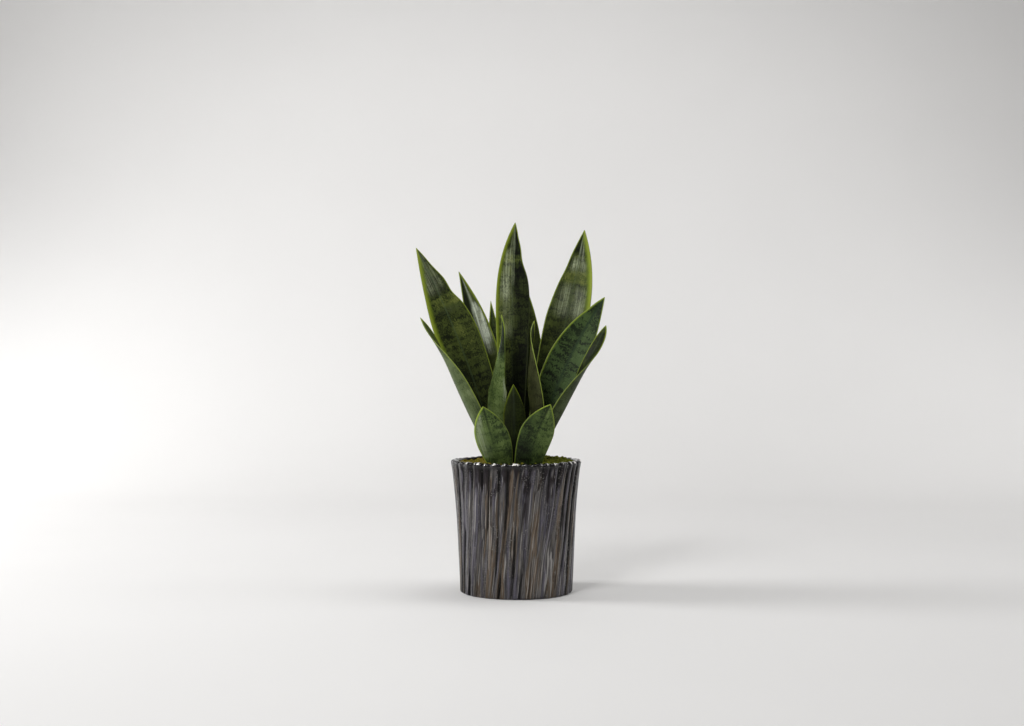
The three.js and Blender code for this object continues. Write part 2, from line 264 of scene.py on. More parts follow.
@dataclass(frozen=True)
class LeafSkin(Finish):
    """Waxy skin of a sword leaf: dark green, jagged bands across, silvery streaks that are partly a
    painted sheen, yellow margin.

    The wax gives the eye a soft sheen over a ground that is painted nearly black at the foot, as
    shade. Fibres are drawn coarser than real ones, so that they show.
    """

    JAG = Grain((3.2, 9.0, 1.0), 3.0, 0.6)
    JAG_HEIGHT = 22.0
    BANDS = Grain((28.0, 2.4, 1.0), 1.0)
    BLOTCHES = Grain((15.0, 24.0, 1.0))
    FIBRES = Grain((0.7, 60.0, 1.0))
    STREAKS = Grain((2.0, 55.0, 1.0))
    WANDER = Grain((2.0, 6.0, 1.0))
    IOR = 1.42

    tones: tuple[str, str, str, str] = ("#080a05", "#1f260f", "#4c5727", "#8b9148")
    silver_and_sheen: str = "#bcc69f"
    margin: tuple[str, str] = ("#5d7216", "#8e9b37")
    rib: str = "#48593f"
    rib_width: float = 1.9
    blotch: float = 0.7
    roughness: float = 0.4

    def paint(self, add: Adder) -> Inputs:
        """Paints bands, blotches, silvery streaks with their painted sheen, rib and margin from the
        blade's own coordinates.
        """
        blade = add("UVMap", uv_map="blade")
        tone, silver_and_sheen, cross = add("SeparateXYZ", add(
            "Attribute", attribute_name="shades", out="Vector")).node.outputs
        edge, middle, ribbed = add("SeparateXYZ", add(
            "Attribute", attribute_name="lines", out="Vector")).node.outputs
        glow = add("Attribute", attribute_name="glow", out="Fac")

        jag = self.JAG_HEIGHT * MM
        shift = add("Math", self.JAG.over(add, blade), jag, -jag / 2)
        jagged = add("VectorMath", blade, add("CombineXYZ", 0.0, shift, 0.0), operation="ADD")
        bands = add("MapRange", self.BANDS.over(add, jagged), 0.41, 0.53, -0.65, 0.25)
        fibres = self.FIBRES.over(add, blade)

        # The tone, with painted shade at the foot and painted light and shade on either half, then
        # what bands, blotches and fibres add to it or take from it.
        shade = add("Math", bands, add("Math", cross, 0.42, operation="MULTIPLY"), tone)
        for pattern, gain in ((self.BLOTCHES.over(add, jagged), self.blotch), (fibres, 0.35)):
            shade = add("Math", pattern, gain, shade)
        shade = add("Math", shade, -0.155 - 0.5 * self.blotch, operation="ADD")
        deep, dark, mid, pale = self.tones
        colour = add("ValToRGB", shade, stops=((0.0, deep), (1.0, pale), (0.3, dark), (0.62, mid)))

        # Silver, partly the skin's own and partly a painted sheen, lies in streaks and is duller on
        # the dark bands; the rib is a line of its own.
        streaks = add("MapRange", self.STREAKS.over(add, blade), 0.36, 0.62, 0.25, 1.0)
        painted_sheen = add("Math", streaks, silver_and_sheen, operation="MULTIPLY")
        painted_sheen = add("Math", add("MapRange", bands, -0.8, 0.1, 0.55, 1.0), painted_sheen,
                    operation="MULTIPLY")
        # The rib line along the middle crease is painted light and shade: a painted highlight where
        # its colour is pale, painted shade where it is dark.
        line = add("MapRange", middle, self.rib_width * 0.3 * MM, self.rib_width * MM, 1.0, 0.0)
        line = add("Math", line, ribbed, operation="MULTIPLY")
        for share, over in ((painted_sheen, self.silver_and_sheen), (line, self.rib)):
            colour = add("Mix", share, colour, linear(over))

        # The margin wanders a little and is palest at its edge; where it lies in shade, it is
        # painted dark.
        wander = add("Math", self.WANDER.over(add, blade), 0.9, edge)
        border = add("MapRange", wander, 0.95, 1.95, 1.0, 0.0)
        low, high = self.margin
        yellow = add("Math", fibres, -0.25, add("MapRange", edge, 0.0, 1.0, 0.95, 0.45))
        yellow = add("ValToRGB", yellow, stops=((0.2, low), (0.8, high)))
        yellow = add("Mix", glow, linear(dark), yellow)

        relief = add("Math", fibres, 0.7, add("Math", bands, 0.2, operation="MULTIPLY"))
        dull = self.roughness
        return {"Base Color": add("Mix", border, colour, yellow),
                "Roughness": add("MapRange", fibres, 0.3, 0.7, dull - 0.08, dull + 0.1),
                "IOR": self.IOR,
                "Normal": add("Bump", 0.4, self.RELIEF * MM, None, relief),
                "Specular IOR Level": add("Math", silver_and_sheen, 0.34, 0.14)}


@dataclass(frozen=True)
class LeafRim(Finish):
    """Cut-thin edge of a leaf: pale yellow-green tissue that catches the light as a fine line."""

    FLECKS = Grain((2.0, 2.0, 14.0))

    def paint(self, add: Adder) -> Inputs:
        """Paints short darker flecks on a pale edge, and paints it dark as shade where the margin
        lies in shade.
        """
        flecks = self.FLECKS.over(add, add("TexCoord", out="Object"))
        colour = add("ValToRGB", flecks, stops=((0.35, "#465a17"), (0.7, "#7a8a36")))
        glow = add("Attribute", attribute_name="glow", out="Fac")
        return {"Base Color": add("Mix", glow, linear("#1c240c"), colour),
                "Roughness": add("MapRange", flecks, 0.3, 0.7, 0.4, 0.55)}


@dataclass(frozen=True)
class LustreGlaze(Finish):
    """Metallic lustre glaze on thrown stoneware: gunmetal with bronze and plum runs down the folds.

    It gives the eye soft vertical reflections and a wet black lip; the creases are painted
    near-black as shade, and glints and thin highlights are painted in.
    """

    SWIRL = Grain((20.0, 20.0, 75.0), 1.0)
    SWAY = 6.0
    RUNS = Grain((11.0, 11.0, 170.0), 3.0, 0.6)
    HAIR = Grain((2.0, 2.0, 60.0), 4.0, 0.65)
    HIGHLIGHT_THREADS = Grain((1.3, 1.3, 75.0), 1.0)
    DRIPS = Grain((5.5, 5.5, 40.0))
    PATCHES = Grain((16.0, 16.0, 45.0))
    GLINT_SPECKS = Grain((1.3, 1.3, 1.6), 1.0)
    MOTTLE = Grain((2.2, 2.2, 5.0), 3.0)
    PITS = Grain((1.2, 1.2, 1.6), 2.0, 0.7)
    KNOBS = Grain((4.6, 4.6, 60.0), 1.0)
    HUES = ((0.32, "#4c484a"), (0.70, "#86827e"), (0.40, "#5f5c60"), (0.45, "#676470"),
            (0.50, "#5a5758"), (0.55, "#6f6c6a"), (0.59, "#6a5e52"), (0.64, "#78695a"))

    def paint(self, add: Adder) -> Inputs:
        """Paints runs down the folds, painted shade in the creases, the black lip, painted glints
        and highlights, and pits in the glaze.
        """
        place = add("Attribute", attribute_name="unwound", out="Vector")
        crease = add("Attribute", attribute_name="crease", out="Fac")
        lip = add("Attribute", attribute_name="lip", out="Fac")
        height = add("SeparateXYZ", place, out="Z")
        swirl = self.SWIRL.over(add, place, "Color")
        place = add("VectorMath", swirl, (self.SWAY * MM,) * 3, place, operation="MULTIPLY_ADD")
        runs, hair, drips, mottle, patches, highlight_threads, glint_specks, pits, knobs = (
            pattern.over(add, place) for pattern in (
                self.RUNS, self.HAIR, self.DRIPS, self.MOTTLE, self.PATCHES, self.HIGHLIGHT_THREADS,
                self.GLINT_SPECKS, self.PITS, self.KNOBS))

        hue = add("ValToRGB", runs, stops=self.HUES)
        light = add("ValToRGB", hair, stops=((0.34, "#5e5e5e"), (0.60, "#f0f0f0")))
        colour = add("Mix", 0.85, hue, light, blend_type="MULTIPLY")

        # Drops of black hang from the lip, and near-white glints are painted on the tops of the
        # lip's folds.
        drips = add("Math", drips, 0.3, height)
        # Pale dots in patches are painted glints, as from pits in the glaze.
        glint_specks = add("Math", add("MapRange", glint_specks, 0.62, 0.72),
                     add("MapRange", patches, 0.5, 0.62, 0.05, 0.8), operation="MULTIPLY")
        knobs = add("Math", add("MapRange", knobs, 0.54, 0.6),
                    add("MapRange", crease, 0.06, 0.2, 1.0, 0.0), operation="MULTIPLY")
        painted_glints = add("Math", knobs, add("MapRange", lip, 0.89, 0.97), operation="MULTIPLY")
        # The first mark, thin pale lines down the folds, is painted highlight.
        for share, over in ((add("MapRange", highlight_threads, 0.6, 0.7, 0.0, 0.4), "#c4c1bd"),
                            (add("MapRange", drips, 0.296, 0.33, 0.0, 0.85), "#1d1718"),
                            # Painted shade: the creases are darkened towards black.
                            (add("MapRange", crease, 0.06, 0.42, 0.0, 0.9), "#0b0a0a"),
                            (add("MapRange", lip, 0.1, 0.7, 0.0, 0.95), "#0e0c0d"),
                            (glint_specks, "#8d8b87"), (painted_glints, "#f2efea")):
            colour = add("Mix", share, colour, linear(over))

        relief = add("Math", pits, add("MapRange", patches, 0.45, 0.65, 0.25, 1.2), mottle)
        return {"Base Color": colour,
                # Where glints are painted, the surface is not metallic, so that their white shows.
                "Metallic": add("Math", painted_glints, -0.85, 0.85),
                "Roughness": add("MapRange", mottle, 0.35, 0.65, 0.1, 0.22),
                "Normal": add("Bump", 0.35, self.RELIEF * MM, None, relief),
                "Specular IOR Level": 0.3,
                "Coat Weight": add("MapRange", lip, 0.2, 0.8, 0.05, 0.6),
                "Coat Roughness": 0.14,
                "Coat IOR": 1.6}


@dataclass(frozen=True)
class DriedMoss(Finish):
    """Preserved sheet moss: crumbled dry tufts, straw-yellow with greener patches, without shine.

    Dust, and shade painted in for the hollows between the tufts, halve its brightness all over. Its
    strands are drawn coarser than real ones, so that they show.
    """

    TUFTS = Grain((3.0, 3.0, 3.0), 3.0, 0.7)
    PATCHES = Grain((22.0, 22.0, 22.0))
    STRANDS = Grain((0.7, 0.7, 0.7), 3.0)
    DUST_AND_SHADE = 0.5

    def paint(self, add: Adder) -> Inputs:
        """Paints each crumb from straw to green, greener towards the right."""
        place = add("TexCoord", out="Object")
        tufts = self.TUFTS.over(add, place)
        right = add("MapRange", add("SeparateXYZ", place), -0.03, 0.06, -0.1, 0.25)
        green = add("Math", right, self.PATCHES.over(add, place), operation="ADD")
        straw, fresh = (add("ValToRGB", tufts, stops=((0.35, low), (0.65, high)))
                        for low, high in (("#50470f", "#c9b440"), ("#465110", "#b6bd3e")))
        colour = add("Mix", add("MapRange", green, 0.42, 0.66), straw, fresh)
        strands = self.STRANDS.over(add, place)
        # Dust and painted shade: the whole bed is mixed halfway to near-black.
        return {"Base Color": add("Mix", self.DUST_AND_SHADE, colour, linear("#0e0e05")),
                "Roughness": 0.92,
                "Normal": add("Bump", 0.8, self.RELIEF * MM, None, strands),
                "Specular IOR Level": 0.15}


@dataclass(frozen=True)
class PottingSoil(Finish):
    """Damp potting compost: dark brown crumbs with paler flecks of bark."""

    RELIEF = 1.0
    CRUMBS = Grain((1.8, 1.8, 1.8), 4.0, 0.7)

    def paint(self, add: Adder) -> Inputs:
        """Paints crumbs and flecks."""
        crumbs = self.CRUMBS.over(add, add("TexCoord", out="Object"))
        return {"Base Color": add("ValToRGB", crumbs, stops=(
                    (0.35, "#15100c"), (0.75, "#6b553b"), (0.55, "#2e241c"))),
                "Roughness": 0.95,
                "Normal": add("Bump", 0.9, self.RELIEF * MM, None, crumbs)}


@dataclass(frozen=True)
class PaintedBoard(Finish):
    """Matt white paint on a studio sweep: even and pale, with the faint unevenness of a roller."""

    ROLLED = Grain((400.0, 400.0, 400.0))

    def paint(self, add: Adder) -> Inputs:
        """Paints the faint unevenness."""
        rolled = self.ROLLED.over(add, add("TexCoord", out="Object"))
        return {"Base Color": add("Mix", rolled, linear("#e9e8e7"), linear("#e5e4e3")),
                "Roughness": 0.85,
                "Specular IOR Level": 0.2}


class Skin(Enum):
    """The kinds of leaf skin on this plant."""

    TALL = LeafSkin("waxy_skin_of_tall_leaf")
    BANDED = LeafSkin(
        "waxy_skin_with_jagged_bands", ("#0e130b", "#25311c", "#4b6035", "#748550"),
        margin=("#66801f", "#98a845"), rib="#2b3d28", rib_width=3.0, blotch=0.4)
    # Paler silvery colour: a painted grey sheen, standing in for light caught on the wax.
    SHEEN = LeafSkin("waxy_skin_with_painted_grey_sheen", silver_and_sheen="#e2ead6")
    YOUNG = LeafSkin(
        "bright_skin_of_young_leaf", ("#141a0c", "#2e3c20", "#576a37", "#82945a"), "#a9b194",
        ("#6a8224", "#98aa42"), rib="#1f2a18", rib_width=2.2, roughness=0.44)
    OLIVE = LeafSkin(
        "olive_skin_of_young_leaf", ("#15180c", "#2d301b", "#4d5130", "#777a50"),
        margin=("#768e2c", "#a8b857"), rib="#1d2116", roughness=0.44)
    # Darker tones and margin: painted shade for the leaf deep in the middle of the rosette.
    DEEP = LeafSkin(
        "shaded_skin_of_middle_leaf", ("#090c03", "#1c220c", "#364218", "#54622a"),
        margin=("#465413", "#6c7a1f"), rib="#3c4638")
    BACK = LeafSkin(
        "dull_skin_of_leaf_back", ("#181e10", "#394427", "#5f6c45", "#929b76"),
        margin=("#637426", "#929f4c"), roughness=0.48)


RIM = LeafRim("thin_edge_of_leaf")


# ---- Leaves ----


@dataclass(frozen=True)
class Paint:
    """Where one blade is darker, paler or silvery, as shares of its height and half width, painted
    light and shade among them.

    Attributes:
        foot, body: Tone at the foot and above, from 0, nearly black, to 1, pale.
        cap: Where the tip of another tone starts, and that tone.
        light_and_shade_halves: What the left and the right half add to the tone: painted light on a
            half that faces the light, painted shade on one that faces away.
        bands: Place, half length and gain of each band across.
        silver_and_sheen: Place across, half width, start, end and strength of each silvery streak,
            partly a painted sheen.
        cross, rib: Strength of the jagged bands and of the rib line at the foot and the tip; the
            rib line is painted light and shade along the middle crease.
        margins, glow: Width of the left and the right margin, and how brightly each is painted lit;
            low values paint it dark as shade.
    """

    BODY_FROM = 0.55
    CAP_EDGE = 0.008
    MIDDLE = 0.25
    STREAK_END = 0.05
    MOST_SILVER_AND_SHEEN = 1.5
    GLOW_FROM, GLOW_FULL = 0.72, 0.9

    foot: float = 0.1
    body: float = 0.38
    cap: Pair = (1.1, 0.3)
    light_and_shade_halves: Pair = (0.0, 0.0)
    bands: tuple[Point, ...] = ()
    silver_and_sheen: tuple[tuple[float, ...], ...] = ()
    cross: Pair = (0.3, 0.5)
    rib: Pair = (0.0, 0.3)
    margins: Pair = (1.5, 1.5)
    glow: Pair = (1.0, 1.0)

    def tone(self, u: float, up: float) -> float:
        """Returns the tone at u across, from -1 to 1, and up, from 0 at the foot to 1, with painted
        shade at the foot and painted light and shade on either half.
        """
        value = mix(self.foot, self.body, smooth_step(0.0, self.BODY_FROM, up))
        start, capped = self.cap
        value = mix(value, capped, smooth_step(start - self.CAP_EDGE, start + self.CAP_EDGE, up))
        value += mix(*self.light_and_shade_halves, smooth_step(-self.MIDDLE, self.MIDDLE, u))
        for place, half, gain in self.bands:
            value += gain * (1 - smooth_step(half * 0.6, half, abs(up - place)))
        return value

    def silver_and_sheen_at(self, u: float, up: float) -> float:
        """Returns how silvery the skin is at u across and up; the silvery streaks are partly a
        painted sheen.
        """
        value = 0.0
        for place, half, start, end, strength in self.silver_and_sheen:
            across = math.exp(-(((u - place) / half) ** 2))
            value += strength * across * smooth_step(start, start + self.STREAK_END, up) * (
                1 - smooth_step(end - self.STREAK_END, end, up))
        return min(value, self.MOST_SILVER_AND_SHEEN)

    def brightness(self, side: int, up: float) -> float:
        """Returns how brightly the left (0) or right (1) margin is painted, low values being
        painted shade: fully bright at the tip.
        """
        return mix(self.glow[side], 1.0, smooth_step(self.GLOW_FROM, self.GLOW_FULL, up))


@dataclass
class SwordLeaf:
    """One blade of the rosette, hollow on one face and thickest along its middle line.

    Attributes:
        name: The solid that the blade stands for.
        foot, handles, tip: Where the middle line starts, bends and ends.
        width, belly: Width at the foot and at the widest place, and how far up that is.
        point: How bluntly the left and the right margin run to the tip.
        face: Azimuth of the hollow face at the foot and the tip, and how late it turns.
        fold: How far each half curls up at the foot and the tip, in degrees.
        ripple: Height, number and phase of the waves in the margins.
        lop: The left margin's share of the width.
        dents: Margin (-1 left, 1 right), place, length and depth of each bay.
        skin, back: Finish of the hollow face and of the other.
    """

    LEVEL = 178.0
    BELOW = (26.0, 14.0, 5.0, 1.5)
    RIB, TIP_RIB, MARGIN = 3.2, 1.4, 1.0
    LEAST_REACH = 0.15
    CREASE, CREASE_WIDTH = 1.6, 0.3
    RIGHT_PHASE = 1.9
    ACROSS, ALONG = 16, 88
    PATTERN_STEP = 0.7

    name: str
    foot: Pair
    handles: tuple[Point, ...]
    tip: Point
    width: Pair
    belly: float
    point: Pair
    face: Point
    fold: Pair
    ripple: Point
    lop: float = 0.5
    dents: tuple[tuple[float, ...], ...] = ()
    skin: Skin = Skin.TALL
    back: Skin = Skin.BACK
    paint: Paint = Paint()

    def spine(self, t: float) -> tuple[Vector, Vector]:
        """Returns the place and direction of the middle line at the share t of the way up."""
        row = [Vector((*self.foot, self.LEVEL)), *map(Vector, self.handles), Vector(self.tip)]
        degree = len(row) - 1
        at = max(t, 0.0)
        while len(row) > 2:
            row = [a.lerp(b, at) for a, b in zip(row, row[1:])]
        along = row[1] - row[0]
        place = row[0].lerp(row[1], at) + along * degree * min(t, 0.0)
        return place, along.normalized()

    def reach(self, t: float, margin: int) -> float:
        """Returns how far the left (-1) or right (1) margin is from the middle line at t."""
        foot, widest = self.width
        if t <= 0:
            return foot / 2
        full = widest * (self.lop if margin < 0 else 1 - self.lop)
        if t < self.belly:
            return mix(foot / 2, full, math.sin(math.pi / 2 * t / self.belly))
        rest = (t - self.belly) / (1 - self.belly)
        reach = full * (1 - rest ** self.point[margin > 0])
        for side, place, length, depth in self.dents:
            if side == margin:
                reach -= depth * math.exp(-(((t - place) / length) ** 2))
        return max(reach, self.LEAST_REACH)

    def section(self, t: float, shares: Array) -> list[tuple[Vector, float, float]]:
        """Finds the blade's middle surface at t.

        Args:
            t: Share of the way up.
            shares: Places across, from -1 at the left margin to 1 at the right.

        Returns:
            For each place across: the point, the distance from the middle line and the thickness.
        """
        place, along = self.spine(t)
        up = max(t, 0.0)
        at_foot, at_tip, late = self.face
        azimuth = math.radians(mix(at_foot, at_tip, up ** late))
        look = Vector((math.cos(azimuth), math.sin(azimuth), 0))
        look = (look - along * look.dot(along)).normalized()
        right = along.cross(look)
        left_reach, right_reach = self.reach(t, -1), self.reach(t, 1)
        curl = math.radians(mix(*self.fold, min(1.0, up * 1.5)))
        radius = (left_reach + right_reach) / 2 / curl
        rib = mix(self.RIB, self.TIP_RIB, up)
        height, waves, phase = self.ripple
        points = []
        for u in shares:
            turn = 2 * math.pi * waves * up + phase + (self.RIGHT_PHASE if u > 0 else 0.0)
            wave = height * math.sin(turn)
            lift = wave * abs(u) ** 3 * min(1.0, up * 3) * min(1.0, (1 - up) * 4)
            crease = self.CREASE * min(1.0, up * 4) * (1 - up) * math.exp(
                -((u / self.CREASE_WIDTH) ** 2))
            offset = u * (left_reach if u < 0 else right_reach)
            lean = offset / radius
            point = place + right * (radius * math.sin(lean)) + look * (
                radius * (1 - math.cos(lean)) + lift - crease)
            points.append((point, offset, mix(rib, self.MARGIN, u * u)))
        return points

    def stations(self) -> Array:
        """Returns the places up the blade of its rows of points, closer towards the tip."""
        start = Vector((*self.foot, self.LEVEL))
        rise = (Vector(self.handles[0]) - start).length * (len(self.handles) + 1)
        shares = np.linspace(0, 1, self.ALONG + 1 - len(self.BELOW))
        return np.concatenate([-np.array(self.BELOW) / rise, shares ** 0.9 * 0.997])

    def build(self, order: int) -> Object:
        """Builds and dresses the blade.

        Args:
            order: Number of the leaf, which moves its pattern away from its neighbours'.

        Returns:
            The finished blade.
        """
        bpy.ops.mesh.primitive_grid_add(
            x_subdivisions=self.ACROSS, y_subdivisions=self.ALONG, size=2)
        piece = bpy.context.object
        piece.name = self.name + "_blade"
        mesh = piece.data
        flat = (read_points(mesh) + 1) / 2
        columns = np.rint(flat[:, 0] * self.ACROSS).astype(int)
        rows = np.rint(flat[:, 1] * self.ALONG).astype(int)
        shares = np.linspace(-1, 1, self.ACROSS + 1)
        shares = np.sign(shares) * np.abs(shares) ** 0.85
        stations = self.stations()
        places = [self.section(t, shares) for t in stations]
        lengths = np.concatenate([[0.0], np.cumsum([
            (self.spine(b)[0] - self.spine(a)[0]).length
            for a, b in zip(stations, stations[1:])])])

        paint = self.paint
        points, across, thick, shades, lines, glow = [], [], [], [], [], []
        for r, c in zip(rows, columns):
            point, offset, body = places[r][c]
            u, up, side = shares[c], max(stations[r], 0.0), 0 if shares[c] < 0 else 1
            inward = self.reach(stations[r], -1 if u < 0 else 1) - abs(offset)
            points.append(point * MM)
            across.append(offset * MM)
            thick.append(body / self.RIB)
            shades.append((paint.tone(u, up), paint.silver_and_sheen_at(u, up), mix(*paint.cross, up)))
            lines.append((inward / paint.margins[side], abs(offset) * MM, mix(*paint.rib, up)))
            glow.append(paint.brightness(side, up))
        write_points(mesh, np.array(points))
        write_attributes(mesh, glow=glow, shades=shades, lines=lines)
        self.unroll(mesh, np.array(across), lengths[rows] * MM + self.PATTERN_STEP * order)
        self.thicken(piece, thick)
        return piece

    def unroll(self, mesh: Mesh, across: Array, along: Array) -> None:
        """Maps the blade by each vertex's distance from the middle line and from the foot."""
        mesh.uv_layers[0].name = "blade"
        corners = np.empty(len(mesh.loops), int)
        mesh.loops.foreach_get("vertex_index", corners)
        mesh.uv_layers[0].data.foreach_set(
            "uv", np.stack([across[corners], along[corners]], 1).ravel())

    def thicken(self, piece: Object, thick: list[float]) -> None:
        """Gives the sheet its finishes, a rounded margin and thickness, a share of the rib's."""
        group = piece.vertex_groups.new(name="thickness")
        for i, share in enumerate(thick):
            group.add([i], share, "REPLACE")
        for finish in (self.skin.value, self.back.value, RIM):
            piece.data.materials.append(finish.material())
        select_only(piece)
        apply_modifier(piece, "SOLIDIFY", thickness=self.RIB * MM, offset=0.0, use_rim=True,
                       vertex_group=group.name, material_offset=1, material_offset_rim=2)
        apply_modifier(piece, "SUBSURF", levels=1, render_levels=1, uv_smooth="NONE")
        bpy.ops.object.shade_smooth()
        piece.vertex_groups.clear()


# Each leaf's Paint darkens its foot as painted shade, lightens or darkens a half as painted light
# and shade, and lays painted sheen in its silvery streaks.
LEAVES: tuple[SwordLeaf, ...] = (
    SwordLeaf(
        "leaf_centre_tall", (0, 12), ((-11, 14, 348),), (-1, 22, 519), (22, 49), 0.65, (2.5, 1.9),
        (-90, -88, 1), (62, 20), (1.6, 2.4, 0.5), 0.49, ((1, 0.84, 0.055, 4.5), (1, 0.93, 0.04, 2)),
        paint=Paint(
            0.0, 0.4, (0.86, 0.32), (0.1, -0.22), ((0.845, 0.018, 0.3), (0.6, 0.14, 0.08)),
            ((-0.5, 0.2, 0.66, 0.9, 0.95), (-0.25, 0.07, 0.66, 1.1, 0.7),
                (-0.02, 0.05, 0.72, 1.1, 0.6), (0.2, 0.04, 0.86, 1.1, 0.5),
                (-0.3, 0.3, 0.5, 0.74, 0.3)), cross=(0.6, 0.8), margins=(4.4, 1.4),
            glow=(1.0, 0.05))),
    SwordLeaf(
        "leaf_left_tall", (-26, 11), ((-62, 12, 330),), (-143, 34, 484), (27, 64), 0.58,
        (1.65, 1.5), (-66, -80, 1), (62, 16), (1.8, 2.1, 2.6), 0.49, ((1, 0.77, 0.045, 4),
            (1, 0.9, 0.05, 1.5)),
        paint=Paint(
            0.04, 0.42, (0.775, 0.3), (-0.04, 0.06), ((0.745, 0.03, 0.16), (0.55, 0.12, 0.06)),
            ((-0.5, 0.35, 0.77, 1.1, 0.5), (0.1, 0.1, 0.76, 1.1, 0.45),
                (0.5, 0.15, 0.78, 1.0, 0.35), (0.2, 0.6, 0.68, 0.73, 0.2)), (0.6, 0.8), (0.2, 0.45),
            (6.2, 1.2))),
    SwordLeaf(
        "leaf_right_tall", (21, 27), ((68, 36, 345),), (99, 60, 512), (25, 63), 0.6, (1.45, 2.2),
        (-115, -96, 1), (62, 18), (1.5, 2.3, 1.1), 0.485, ((-1, 0.82, 0.05, 1.5),),
        paint=Paint(
            0.05, 0.42, (0.87, 0.3), bands=((0.79, 0.032, 0.24), (0.88, 0.012, 0.25)),
            silver_and_sheen=((-0.35, 0.3, 0.6, 0.78, 0.5), (0.45, 0.25, 0.6, 0.77, 0.6),
                (-0.3, 0.35, 0.8, 0.89, 1.1), (0.4, 0.2, 0.8, 0.88, 0.5),
                (0.0, 0.08, 0.86, 1.1, 0.7), (0.3, 0.07, 0.84, 1.1, 0.5)), cross=(0.3, 0.6),
            margins=(1.4, 7.5))),
    SwordLeaf(
        "leaf_right_mid", (27, 10), ((47, 14, 295),), (126, 22, 413), (26, 58), 0.57, (2, 2),
        (-122, -100, 1), (60, 16), (1.4, 1.8, 0.2), 0.52, ((-1, 0.9, 0.04, 1),), Skin.BANDED,
        paint=Paint(0.16, 0.46, (0.9, 0.3), cross=(1.2, 0.9), rib=(0.3, 0.8), margins=(2.4, 1.2))),
    SwordLeaf(
        "leaf_left_back", (-17, 32), ((-30, 43, 315),), (-83.5, 75, 453), (22, 42), 0.56,
        (1.7, 1.7), (-62, -72, 1), (66, 34), (1.2, 1.9, 2.1), skin=Skin.SHEEN,
        paint=Paint(
            0.1, 0.36, light_and_shade_halves=(-0.06, 0.2), silver_and_sheen=((0.42, 0.32, 0.6, 0.84, 3.0),
                (0.4, 0.25, 0.54, 0.68, 0.6), (0.2, 0.15, 0.8, 1.05, 0.7)), cross=(0.3, 0.4),
            margins=(1.2, 2.6))),
    SwordLeaf(
        "leaf_centre_back_left", (-7, 46), ((-26, 56, 294),), (-37, 90, 411), (16, 28), 0.52,
        (1.6, 1.6), (-80, -80, 1), (60, 25), (0.8, 1.6, 0.4)),
    SwordLeaf(
        "leaf_centre_back_right", (16, 46), ((21, 60, 304),), (14, 85, 432), (20, 44), 0.56,
        (1.8, 1.8), (-100, -96, 1), (62, 24), (1.0, 1.7, 1.7)),
    SwordLeaf(
        "leaf_left_outer", (-27, -28), ((-69, -26, 278),), (-134, -8, 383), (17, 37), 0.58,
        (1.6, 1.7), (44, -56, 3), (58, 24), (0.9, 1.5, 0.9), paint=Paint(0.35, 0.5)),
    SwordLeaf(
        "leaf_right_outer", (22, -25), ((107, -34, 330),), (125.5, -6, 372), (18, 37), 0.42,
        (1.7, 1.6), (142, 264, 1.4), (58, 24), (0.9, 1.6, 2.4), 0.42, paint=Paint(0.25, 0.26)),
    SwordLeaf(
        "leaf_front_left", (-25, -14.5), ((-40.5, -25, 305), (-10.7, -18, 327)), (-20.2, -12, 387),
        (22, 34), 0.36, (0.62, 0.62), (64, 46, 1), (55, 22), (0.8, 2.0, 0.3), 0.5,
        ((-1, 0.87, 0.1, -1.3), (1, 0.87, 0.1, -1.3)), back=Skin.YOUNG,
        paint=Paint(
            0.55, 0.4, bands=((0.4, 0.3, 0.2), (0.88, 0.3, -0.33)),
            silver_and_sheen=((-0.95, 0.2, 0.27, 0.47, 0.9),), cross=(0.5, 0.9), margins=(1.0, 1.2),
            glow=(0.3, 1.0))),
    SwordLeaf(
        "leaf_front_right", (12, -15), ((46, -20, 242), (8, -18, 302)), (25.5, -16, 379), (19, 29),
        0.5, (2.4, 2.4), (45, -90, 6), (52, 20), (0.7, 2.0, 2.9), back=Skin.OLIVE,
        paint=Paint(0.35, 0.42, margins=(1.0, 1.0))),
    SwordLeaf(
        "leaf_front_middle", (-2, -38), ((-2, -37, 233),), (-4, -32, 290), (20, 32), 0.6,
        (1.7, 1.7), (90, 88, 1), (50, 22), (0.7, 1.3, 1.2), back=Skin.DEEP,
        paint=Paint(0.13, 0.33, margins=(1.5, 2.4), glow=(0.2, 0.6))),
    SwordLeaf(
        "leaf_short_left", (-22, -52), ((-33, -60, 219),), (-45, -80, 261), (37, 51), 0.42,
        (2.0, 2.1), (76, 82, 1), (42, 26), (0.7, 1.2, 0.4), 0.48, back=Skin.YOUNG,
        paint=Paint(
            0.42, 0.52, silver_and_sheen=((0.62, 0.25, 0.15, 0.9, 0.45),), cross=(0.7, 0.8), rib=(0.0, 0.8),
            margins=(1.2, 2.8), glow=(0.5, 0.9))),
    SwordLeaf(
        "leaf_short_right", (18, -56), ((21.5, -62, 220),), (46, -81, 264), (43, 50), 0.48,
        (1.95, 1.95), (106, 98, 1), (44, 26), (0.7, 1.3, 2.2), 0.53, back=Skin.YOUNG,
        paint=Paint(
            0.3, 0.52, light_and_shade_halves=(0.07, -0.24), cross=(0.7, 0.8), rib=(0.0, 0.8), margins=(1.8, 1.8),
            glow=(0.7, 0.5))),
    SwordLeaf(
        "leaf_rear_tall", (4, 62), ((-2, 74, 300),), (-6, 114, 422), (20, 36), 0.55, (1.8, 1.8),
        (-90, -90, 1), (62, 22), (1.2, 1.8, 0.8)),
    SwordLeaf(
        "leaf_rear_left", (-23, 54), ((-28, 64, 216),), (-27, 86, 254), (26, 34), 0.44, (2, 2),
        (-62, -70, 1), (48, 26), (0.7, 1.3, 1.6), back=Skin.YOUNG),
    SwordLeaf(
        "leaf_rear_right", (27, 54), ((31, 64, 214),), (28, 86, 252), (26, 34), 0.44, (2, 2),
        (-118, -110, 1), (48, 26), (0.7, 1.3, 2.8), back=Skin.YOUNG),
)


# ---- Pot ----


